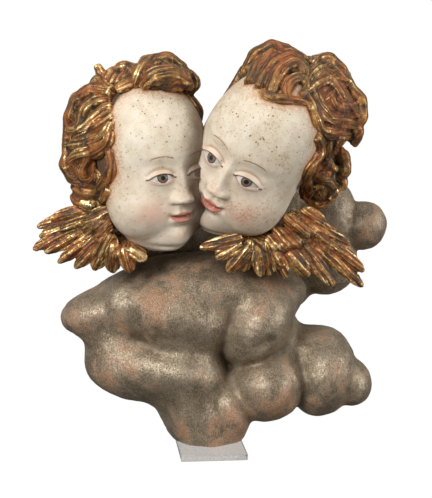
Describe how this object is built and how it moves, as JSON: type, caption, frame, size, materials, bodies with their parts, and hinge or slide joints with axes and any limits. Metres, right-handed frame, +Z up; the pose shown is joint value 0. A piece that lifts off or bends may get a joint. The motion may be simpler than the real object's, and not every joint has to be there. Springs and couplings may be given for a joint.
{
  "type": "carved angel head group",
  "caption": "Carved, painted and gilded angel heads with wings under their chins, cheek to cheek on a silvered bank of clouds, on a clear acrylic foot.",
  "frame": {"origin": "centre of the acrylic foot's underside", "axes": "+Z up, +Y towards the flat sawn back, so the faces look towards -Y, and +X to the viewer's right"},
  "size_m": [0.3577, 0.1623, 0.3983],
  "materials": {
    "silvered_wood": "worn silver leaf over an orange-brown ground, satin",
    "painted_wood": "aged flesh paint with brown specks, low sheen, and worn gilding on the hair",
    "gilded_wood": "worn gold leaf over red bole, burnished on the high points",
    "acrylic": "clear, polished, with pale grey-green edges"
  },
  "bodies": {
    "root": {"cloud_bank": "silvered_wood", "rear_cloud": "silvered_wood", "left_angel_head": "painted_wood", "right_angel_head": "painted_wood", "left_angel_wings": "gilded_wood", "right_angel_wings": "gilded_wood", "acrylic_foot": "acrylic"}
  },
  "joints": []
}
